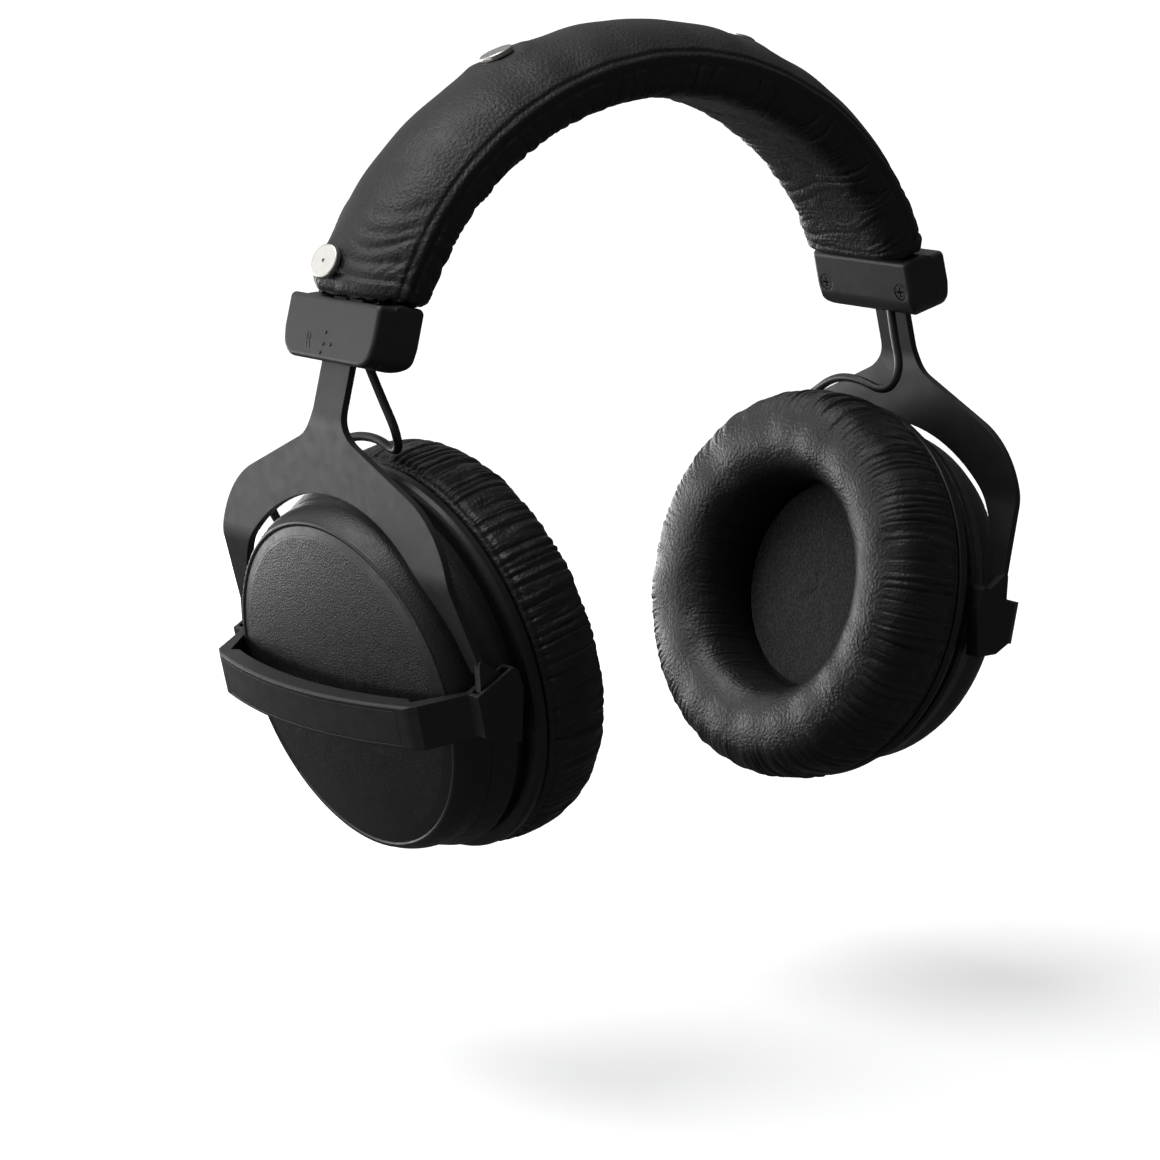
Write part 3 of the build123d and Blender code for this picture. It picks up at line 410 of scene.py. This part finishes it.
# Finishes by the record's slot names: the function that makes each one, then its dark and light colours and
# the rest of that function's settings
FINISHES = {
    "leatherette": (leatherette, (0.009, 0.009, 0.0102), (0.014, 0.014, 0.0158)),
    "pad_leatherette": (leatherette, (0.010, 0.010, 0.011), (0.016, 0.016, 0.017), (0.30, 0.48), 1300.0),
    "foam": (fabric, (0.012, 0.012, 0.013), (0.05, 0.05, 0.052), 1400.0, 0.0002),
    "spring_steel": (metal, (0.42, 0.42, 0.43), (0.55, 0.55, 0.56), (0.22, 0.40), (1.0, 0.05, 1.0)),
    "nickel": (metal, (0.62, 0.60, 0.56), (0.74, 0.72, 0.68), (0.20, 0.34)),
    "cable": (moulded, (0.012, 0.012, 0.012), (0.02, 0.02, 0.02), (0.32, 0.46), 1800.0, 0.00003),
    "slider_plastic": (
        moulded, (0.020, 0.0205, 0.021), (0.028, 0.0285, 0.029), (0.36, 0.46), 3000.0, 0.00003, 0.0004, 0.3,
    ),
    "yoke_steel": (
        moulded, (0.014, 0.014, 0.0145), (0.020, 0.020, 0.021), (0.40, 0.52), 2600.0, 0.00003, 0.00035, 0.35,
    ),
    "dark_steel": (metal, (0.06, 0.06, 0.062), (0.10, 0.10, 0.10), (0.28, 0.42)),
    "strap_plastic": (
        moulded, (0.010, 0.010, 0.0105), (0.015, 0.015, 0.016), (0.38, 0.50), 2400.0, 0.00005, 0.00035,
    ),
    "plate_plastic": (
        moulded, (0.017, 0.017, 0.018), (0.023, 0.023, 0.024), (0.34, 0.44), 3200.0, 0.00003, 0.0002,
    ),
    "ring_plastic": (
        moulded, (0.010, 0.010, 0.0105), (0.016, 0.016, 0.0165), (0.30, 0.42), 2400.0, 0.00004, 0.0003,
    ),
    "inner_plastic": (moulded, (0.015, 0.015, 0.016), (0.025, 0.025, 0.026), (0.45, 0.6)),
    "magnet_metal": (metal, (0.42, 0.42, 0.43), (0.5, 0.5, 0.5), (0.3, 0.45)),
    "membrane": (moulded, (0.5, 0.5, 0.48), (0.6, 0.6, 0.57), (0.15, 0.25), 800.0, 0.00003),
    "copper": (metal, (0.62, 0.30, 0.16), (0.72, 0.38, 0.2), (0.25, 0.4), (1.0, 1.0, 9.0)),
    "felt": (fabric, (0.22, 0.21, 0.20), (0.36, 0.35, 0.33), 900.0, 0.0003),
    "board": (moulded, (0.02, 0.12, 0.05), (0.03, 0.16, 0.07), (0.25, 0.35), 600.0, 0.00005),
    "ink": (moulded, (0.004, 0.004, 0.004), (0.006, 0.006, 0.006), (0.3, 0.4), 2000.0, 0.00002),
}


def make_materials():
    """Every finish by name; the cups have one each, because their grain follows their own axis."""
    made = {name: make(name, *settings) for name, (make, *settings) in FINISHES.items()}
    for side, mirror in SIDES:
        made["cup_plastic_" + side] = grained_cup("cup_plastic_" + side, mirror)
    return made


# ---------------------------------------------------------------- meshes

def grid_faces(rows, columns, wrap_rows=False, first=0):
    """Quads of a grid of points stored row by row, joined round each row."""
    i = np.arange(rows if wrap_rows else rows - 1)
    j = np.arange(columns)
    a, b = np.meshgrid(i, j, indexing="ij")
    c, d = (a + 1) % rows, (b + 1) % columns
    quads = np.stack((a * columns + b, a * columns + d, c * columns + d, c * columns + b), -1)
    return (quads.reshape(-1, 4) + first).tolist()


def mesh_piece(name, points, faces, material, body, mirror=1.0, flip=False):
    """Smooth mesh from points in millimetres, riding on a body; mirror -1 makes the left side's."""
    points = np.array(points, float).reshape(-1, 3) * MM
    points[:, 0] *= mirror
    order = -1 if (mirror < 0) != flip else 1
    mesh = bpy.data.meshes.new(name)
    mesh.from_pydata(points.tolist(), [], [tuple(face)[::order] for face in faces])
    mesh.polygons.foreach_set("use_smooth", np.ones(len(mesh.polygons), bool))
    mesh.materials.append(material)
    mesh.update()
    piece = add_object(name, mesh)
    if body:
        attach(piece, body)
    return piece


def smooth_step(low, high, value):
    """Smooth rise from 0 at low to 1 at high; low may be the larger."""
    t = np.clip((value - low) / (high - low), 0.0, 1.0)
    return t * t * (3.0 - 2.0 * t)


def round_rise(t):
    """Quarter-circle rise from 0 to 1."""
    t = np.clip(t, 0.0, 1.0)
    return np.sqrt(np.clip(1.0 - (1.0 - t) ** 2, 0.0, 1.0))


def ridge(distance, width):
    """Rounded ridge of height 1 where the distance is 0."""
    return np.exp(-((distance / width) ** 2))


def gathers(phase, shape):
    """Rounded ridges with sharp valleys, about zero on average: one ridge for each unit of phase."""
    power, mean = shape
    return np.abs(np.sin(pi * phase)) ** power - mean


def patches(middle, swing, contrast, field):
    """Strength that changes from patch to patch, between middle - swing and middle + swing."""
    return middle + swing * np.tanh(contrast * field)


def waves(seed, count, low, high, across):
    """Seeded noise over an angle and a distance, with low to high whole cycles round the angle."""
    random = np.random.default_rng(seed)
    cycles = random.integers(low, high + 1, count)
    slant = random.uniform(-across, across, count)
    phase = random.uniform(0, 2 * pi, count)
    weight = random.uniform(0.5, 1.0, count) / sqrt(count / 2)

    def value(angle, distance):
        total = np.zeros(np.broadcast(angle, distance).shape)
        for c, s, p, w in zip(cycles, slant, phase, weight):
            total += w * np.cos(c * angle + s * distance + p)
        return total

    return value


def spaced(corners, count):
    """Even samples of a smooth closed curve through the corners, their places along it and its length."""
    corners = np.array(corners, float)
    dense = []
    for k in range(len(corners)):
        p0, p1, p2, p3 = (corners[(k + step) % len(corners)] for step in (-1, 0, 1, 2))
        for t in np.linspace(0, 1, 24, endpoint=False):
            square = (2 * p0 - 5 * p1 + 4 * p2 - p3) * t**2
            cube = (3 * p1 - p0 - 3 * p2 + p3) * t**3
            dense.append(0.5 * ((2 * p1) + (p2 - p0) * t + square + cube))
    dense.append(corners[0])
    dense = np.array(dense)
    run = np.concatenate(([0], np.cumsum(np.linalg.norm(np.diff(dense, axis=0), axis=1))))
    at = np.linspace(0, run[-1], count, endpoint=False)
    return np.stack([np.interp(at, run, dense[:, axis]) for axis in (0, 1)], -1), at, run[-1]


def rightward(profile):
    """Unit normals of a closed profile in its plane, to the right of its direction."""
    step = np.roll(profile, -1, 0) - np.roll(profile, 1, 0)
    step /= np.linalg.norm(step, axis=1, keepdims=True)
    return np.stack((step[:, 1], -step[:, 0]), -1)


def cup_points(radius, angle, height):
    """Points in millimetres from radius, angle from the front and height out of the cup's seat."""
    c, o, f, u = (np.array(v) for v in (CUP, CUP_OUT, CUP_FRONT, CUP_UP))
    return (c + o * height[..., None] + f * (radius * np.cos(angle))[..., None]
            + u * (radius * np.sin(angle))[..., None])


# ---------------------------------------------------------------- soft goods

def make_ear_pad(side, mirror, material):
    """Round ear cushion: gathered outer wall with dense cross wrinkles, full front and softer inner wall."""
    profile, _, _ = spaced(EAR_SECTION, EAR_COLUMNS)
    normal = -rightward(profile)
    angle = np.linspace(0, 2 * pi, EAR_ROWS, endpoint=False)[:, None]
    turn = angle / (2 * pi)
    r, h = profile[None, :, 0], profile[None, :, 1]
    outer = smooth_step(45.5, 49.4, r) * smooth_step(-0.6, -2.6, h)
    outer = np.maximum(outer, smooth_step(41.0, 48.0, r) * smooth_step(-12.0, -16.0, h) * 0.75)
    inner = smooth_step(31.5, 28.4, r) * smooth_step(-0.6, -3.0, h)
    front = smooth_step(-17.5, -20.5, h)
    skirt = ridge(h + 2.4, 0.55) * smooth_step(48.0, 49.4, r)
    seed = EAR_SEEDS[side]
    pleats = EAR_PLEATS * turn + 0.55 * waves(seed, 14, 3, 30, 0.05)(angle, h)
    fine = EAR_FINE_PLEATS * turn + 0.8 * waves(seed + 20, 18, 8, 70, 0.12)(angle, h)
    strong = patches(0.60, 0.40, 1.8, waves(seed + 40, 20, 16, 90, 0.22)(angle, h))
    broken = patches(0.5, 0.5, 2.0, waves(seed + 60, 20, 20, 100, 0.45)(angle, h))
    swell = waves(seed + 80, 12, 3, 22, 0.2)(angle, r)
    pinch = ridge(h + 9.5 + 1.6 * np.sin(5 * angle), 2.2)
    push = outer * 0.95 * strong * gathers(pleats, DEEP)
    push += outer * broken * (0.40 * gathers(fine, SHALLOW) - 0.30 * pinch)
    push += inner * 0.32 * strong * gathers(pleats, SHALLOW)
    push += 0.16 * front * swell - 0.55 * skirt
    points = cup_points(r + push * normal[None, :, 0], angle, h + push * normal[None, :, 1])
    faces = grid_faces(EAR_ROWS, EAR_COLUMNS, wrap_rows=True)
    pad = mesh_piece(f"ear_cushion_{side}", points, faces, material, "cup_" + side, mirror, flip=True)
    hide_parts("ear_pad_" + side)


def band_place(slope, offset):
    """X and Z in millimetres of the band at a signed slope, positive on the right, moved outwards."""
    size = np.abs(slope)
    x = offset * np.sin(np.radians(size))
    z = BAND_TOP + offset * np.cos(np.radians(size))
    for first, last, radius in ((0.0, CROWN_END, CROWN_RADIUS), (CROWN_END, SIDE_END, SIDE_RADIUS)):
        reached = np.clip(size, first, last)
        x = x + radius * (np.sin(np.radians(reached)) - sin(radians(first)))
        z = z - radius * (cos(radians(first)) - np.cos(np.radians(reached)))
    return np.where(slope >= 0, -x, x), z


def band_length(slope):
    """Length of the band in millimetres from the middle to an unsigned slope."""
    crown = CROWN_RADIUS * radians(min(slope, CROWN_END))
    return crown + SIDE_RADIUS * radians(max(slope - CROWN_END, 0.0))


def pad_outline():
    """Half-round cross-section of the headband pad, from the rear seam over the top and back underneath."""
    rise = PAD_ABOVE - PAD_EDGE
    crown = (PAD_HALF**2 + rise**2) / (2 * rise)
    across = np.linspace(PAD_TOP_HALF, -PAD_TOP_HALF, PAD_TOP_POINTS)
    top = [(y, PAD_ABOVE - crown + sqrt(crown**2 - y**2)) for y in across]
    front = [(-y, n) for y, n in PAD_UNDER]
    return [*top, *front, (0.0, PAD_LOWEST), *reversed(PAD_UNDER)]


def sleeve_push(outline, at, along, hem):
    """How far the sleeve's surface stands out: piping, gathers, creases, hem and the pull of the studs."""
    y, n = outline[None, :, 0], outline[None, :, 1]
    size = np.abs(along)
    off_front = np.abs(outline[:, 0] + PAD_SEAM_Y) + np.abs(outline[:, 1])
    off_rear = np.abs(outline[:, 0] - PAD_SEAM_Y) + np.abs(outline[:, 1])
    front, rear = at[np.argmin(off_front)], at[np.argmin(off_rear)]
    seam = np.minimum(np.abs(at - front), np.abs(at - rear))[None, :]
    at = at[None, :]
    below = smooth_step(-1.2, -3.2, n)
    above = 1.0 - below
    turn = 2 * pi * along / WAVE_LENGTH
    warp = waves(3, 16, 3, 34, 0.18)(turn, at)

    # Piping along both seams, and the gathered underside
    push = 0.42 * ridge(seam, 0.8) - 0.36 * ridge(seam - 1.6, 0.45)
    folds = along / 6.6 + 0.55 * warp
    small = along / 3.7 + 0.8 * waves(5, 16, 6, 60, 0.3)(turn, at)
    patch = patches(0.55, 0.45, 1.8, waves(6, 14, 6, 50, 0.25)(turn, at))
    edge = below * (0.45 + 0.55 * smooth_step(9.0, 16.5, np.abs(y)))
    push = push + edge * (0.95 * patch * gathers(folds, DEEP) + 0.30 * gathers(small, SHALLOW))

    # Puckers at the ends, slight waves on the top, the hem and the folds across each end
    puckers = at / 4.3 + 0.7 * waves(8, 14, 6, 60, 0.25)(turn, at)
    near_end = smooth_step(24.0, 4.0, hem) * smooth_step(2.0, 7.0, hem)
    push += above * near_end * 0.26 * smooth_step(-5.0, -14.0, y) * gathers(puckers, SHALLOW)
    push += above * 0.16 * waves(9, 12, 5, 40, 0.2)(turn, at)
    push += (0.25 * ridge(hem - 2.2, 1.0) - 0.55 * ridge(hem - 3.6, 0.6)) * (0.35 + 0.65 * above)
    for rise, bend, width, depth in END_FOLDS:
        line = hem - rise - bend * (y + 6.0) ** 2
        push -= depth * ridge(line, width) * above * smooth_step(3.0, -7.0, y) * smooth_step(-18.0, -14.0, y)

    # Press studs: a swell and rays around each, and a slanted seat under the leaning ones
    for snap, lean in zip(SNAP_SLOPES, SNAP_LEANS):
        dx, dy = size - band_length(snap), y - SNAP_Y
        distance = np.sqrt(dx**2 + dy**2)
        rays = gathers((4.5 * np.arctan2(dy, dx) + 0.8 * warp) / pi, SHALLOW)
        swell = 0.55 * ridge(distance - 6.6, 2.2) - 0.25 * np.exp(-((distance / 4.4) ** 6))
        push += above * ((swell if lean == 0.0 else 0.3 * swell) + 0.10 * ridge(distance - 8.0, 4.0) * rays)
        seat = np.exp(-((distance / 6.4) ** 4)) * (3.3 + np.clip(dy, -4.0, 5.0))
        push += above * seat * tan(radians(lean))
    return push


def sleeve_end(y, n, sag, at, around, slot, sign):
    """Rings of points that tuck the sleeve's end in to the slot round the band."""
    slot_y, slot_n = slot
    rings = []
    for k in range(1, END_RINGS + 1):
        t = k / END_RINGS
        pull = smooth_step(0.0, 1.0, t)
        crumple = 0.35 * sin(pi * t) * np.sin(at / around * 2 * pi * 15 + 2.0 * np.sin(at * 0.21))
        depth = 0.7 * sin(pi * min(t * 1.25, 1.0)) - 1.6 * t**2.2 + crumple + sag * (1.0 - 0.4 * t)
        slope = sign * (PAD_END + np.degrees(depth / SIDE_RADIUS))
        x, z = band_place(slope, n * (1 - pull) + slot_n * pull)
        rings.append(np.stack((x, y * (1 - pull) + slot_y * pull, z), -1))
    return np.array(rings)


def make_headband_pad(material):
    """Leatherette sleeve over the foam: smooth crowned top, piped edges, gathered underside, tucked ends."""
    outline, at, around = spaced(pad_outline(), SLEEVE_COLUMNS)
    normal = rightward(outline)
    y, n = outline[None, :, 0], outline[None, :, 1]
    half_length, crown_length = band_length(PAD_END), band_length(CROWN_END)
    along = np.linspace(-half_length, half_length, SLEEVE_ROWS)[:, None]
    size = np.abs(along)
    side_slope = CROWN_END + np.degrees((size - crown_length) / SIDE_RADIUS)
    slope = np.where(size < crown_length, np.degrees(size / CROWN_RADIUS), side_slope) * np.sign(along)
    hem = half_length - size
    push = sleeve_push(outline, at, along, hem)
    round_off = round_rise(hem / END_ROUND)
    yy = (y + push * normal[None, :, 0]) * (0.93 + 0.07 * round_off)
    nn = (n + push * normal[None, :, 1] + 0.8) * (0.70 + 0.30 * round_off) - 0.8
    sag = END_SAG * np.clip(1.0 - ((yy - 1.0) / 16.5) ** 4, 0.0, 1.0) * smooth_step(-4.0, 2.0, nn)
    sag = sag * smooth_step(12.0, 0.0, hem)
    x, z = band_place(slope + np.degrees(sag / SIDE_RADIUS) * np.sign(along), nn)
    slot = (np.clip(outline[:, 0] * 0.9, -9.6, 9.6), np.where(outline[:, 1] > -1.0, 1.3, -1.3))
    left, right = (
        sleeve_end(yy[row], nn[row], sag[row], at, around, slot, sign) for row, sign in ((0, -1), (-1, 1))
    )
    points = np.concatenate((left[::-1], np.stack((x, yy, z), -1), right), 0)
    pad = mesh_piece("headband_sleeve", points, grid_faces(*points.shape[:2]), material, "headband")
    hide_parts("headband_cover", "headband_foam")


def make_foam_disc(side, mirror, material):
    """Thin foam disc in front of the driver, a little dished and lumpy, with a rolled edge."""
    angle = np.linspace(0, 2 * pi, FOAM_TURNS, endpoint=False)[None, :]
    t = np.linspace(0.0, 1.0, FOAM_RINGS)[:, None]
    radius = FOAM_RADIUS * t
    lumps = waves(31, 14, 0, 9, 0.35)(angle, radius)
    face = FOAM_FACE - 0.30 * (1 - t**2) - 0.10 * lumps * (1 - t**4)
    roll = np.sqrt(1 - np.clip((t - FOAM_ROLL) / (1 - FOAM_ROLL), 0, 1) ** 2)
    top = cup_points(radius, angle, FOAM_EDGE + (face - FOAM_EDGE) * roll)
    bottom = cup_points(radius, angle, FOAM_EDGE + FOAM_BACK * roll)
    grid = np.concatenate((top[1:], bottom[1:][::-1]), 0)
    centres = np.concatenate((top[0, :1], bottom[0, :1]), 0)
    points = np.concatenate((grid.reshape(-1, 3), centres), 0)
    last_row = (len(grid) - 1) * FOAM_TURNS
    top_centre = len(points) - 2
    faces = grid_faces(len(grid), FOAM_TURNS)
    for j in range(FOAM_TURNS):
        faces.append((top_centre, (j + 1) % FOAM_TURNS, j))
    for j in range(FOAM_TURNS):
        faces.append((top_centre + 1, last_row + j, last_row + (j + 1) % FOAM_TURNS))
    disc = mesh_piece(f"driver_foam_{side}", points, faces, material, "cup_" + side, mirror)
    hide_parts("foam_disc_" + side)


# ---------------------------------------------------------------- leads and marks

def to_mesh(name, curve, transforms=()):
    """Plain mesh of a curve or of lettering."""
    carrier = add_object(name, curve)
    bpy.context.view_layer.update()
    mesh = bpy.data.meshes.new_from_object(carrier)
    bpy.data.objects.remove(carrier)
    for matrix in transforms:
        mesh.transform(matrix)
    return mesh


def route_line():
    """Points along the lead's smooth line, in millimetres."""
    curve = bpy.data.curves.new("lead_route", "CURVE")
    curve.dimensions = "3D"
    curve.resolution_u = 24
    spline = curve.splines.new("NURBS")
    spline.points.add(len(LEAD_ROUTE) - 1)
    for point, place in zip(spline.points, LEAD_ROUTE):
        point.co = (*(MM * c for c in place), 1.0)
    spline.order_u = 3
    spline.use_endpoint_u = True
    mesh = to_mesh("lead_route", curve)
    line = np.array([v.co for v in mesh.vertices]) / MM
    bpy.data.meshes.remove(mesh)
    return line


def tube(line, radius, sides):
    """Rings of points around a line."""
    step = np.gradient(line, axis=0)
    step /= np.linalg.norm(step, axis=1, keepdims=True)
    across = np.cross(step[0], (0.0, 0.0, 1.0))
    across /= np.linalg.norm(across)
    angle = np.linspace(0, 2 * pi, sides, endpoint=False)[:, None]
    rings = []
    for place, ahead in zip(line, step):
        across = across - ahead * (across @ ahead)
        across /= np.linalg.norm(across)
        other = np.cross(ahead, across)
        rings.append(place + radius * (np.cos(angle) * across + np.sin(angle) * other))
    return np.array(rings)


def make_leads(material):
    """The slack lead on each side, in two lengths that meet behind the yoke."""
    line = route_line()
    rings = tube(line, LEAD_RADIUS, LEAD_SIDES)
    middle = int(np.argmin(np.linalg.norm(line - np.array(LEAD_MIDDLE), axis=1)))
    # Samples of the line meant to mark where each length's bend starts and ends; nothing reads them
    upper_bend, lower_bend = (2, middle - 4), (middle + 6, len(line) - 14)
    for side, mirror in SIDES:
        for name, part, bodies, bend in (
            ("lead_upper_" + side, rings[: middle + 1], ("headband", "yoke_" + side), upper_bend),
            ("lead_lower_" + side, rings[middle:], ("yoke_" + side, "cup_" + side), lower_bend),
        ):
            piece = mesh_piece(name, part, grid_faces(*part.shape[:2]), material, None, mirror)
            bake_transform(piece)
            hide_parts("lead_" + side)


def slider_matrix(mirror, across, up, out):
    """Placement on the slider's outer face, with X to the reader's right."""
    origin = SLIDER + SLIDER_UP * up + SLIDER_OUT * out
    origin = Vector((origin.x * mirror, -across * mirror, origin.z)) * MM
    right = Vector((0.0, -mirror, 0.0))
    above = Vector((SLIDER_UP.x * mirror, 0.0, SLIDER_UP.z))
    away = right.cross(above)
    turn = Matrix((right, above, away)).transposed().to_4x4()
    return Matrix.Translation(origin) @ turn


def make_letter(side, mirror, material):
    """Plain R or L on the slider's face."""
    letter = bpy.data.curves.new(f"side_letter_{side}", "FONT")
    letter.body = "R" if side == "right" else "L"
    letter.size = LETTER_SIZE * MM
    letter.extrude = 0.05 * MM
    letter.align_x = letter.align_y = "CENTER"
    placed = slider_matrix(mirror, *LETTER_PLACE, SLIDER_FACE + 0.02)
    mesh = to_mesh(f"side_letter_{side}", letter, (Matrix.Diagonal((LETTER_WIDTH, 1.0, 1.0, 1.0)), placed))
    mesh.materials.clear()
    mesh.materials.append(material)
    mark = add_object(f"side_letter_{side}", mesh)
    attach(mark, "headband")


def make_pips(side, mirror, material):
    """Small raised pips beside the letter."""
    t = np.linspace(0.02, 1.0, PIP_RINGS)[:, None]
    angle = np.linspace(0, 2 * pi, PIP_TURNS, endpoint=False)[None, :]
    across, up, lift = np.broadcast_arrays(
        PIP_RADIUS * t * np.cos(angle),
        PIP_RADIUS * t * np.sin(angle),
        PIP_HEIGHT * np.sqrt(np.clip(1 - t**2, 0, 1)) + SLIDER_FACE - 0.03,
    )
    points, faces = [], []
    for pip_across, pip_up in PIPS[: PIP_COUNTS[side]]:
        faces += grid_faces(PIP_RINGS, PIP_TURNS, first=len(points) * PIP_RINGS * PIP_TURNS)
        place = np.array(SLIDER) + (pip_up + up)[..., None] * np.array(SLIDER_UP)
        place = place + lift[..., None] * np.array(SLIDER_OUT)
        place[..., 1] -= pip_across + across
        points.append(place.reshape(-1, 3))
    piece = mesh_piece(f"side_pips_{side}", np.concatenate(points), faces, material, "headband", mirror)


# ---------------------------------------------------------------- build

make_camera()
make_world()
make_lights()
make_floor()
materials = make_materials()
bpy.context.scene.view_settings.view_transform = "Standard"
bpy.context.scene.view_settings.look = "None"

for entry in frame["record"]["subparts"]:
    name, slot = entry["node"], entry["material_slot"]
    if slot == "cup_plastic":
        slot = "cup_plastic_" + ("left" if name.endswith("left") else "right")
    mesh = frame["nodes"][name].data
    mesh.materials.clear()
    mesh.materials.append(materials[slot])

make_leads(materials["cable"])
make_headband_pad(materials["leatherette"])
for side_name, mirrored in SIDES:
    make_ear_pad(side_name, mirrored, materials["pad_leatherette"])
    make_foam_disc(side_name, mirrored, materials["foam"])
for side_name, mirrored in SIDES:
    make_letter(side_name, mirrored, materials["ink"])
    make_pips(side_name, mirrored, materials["slider_plastic"])
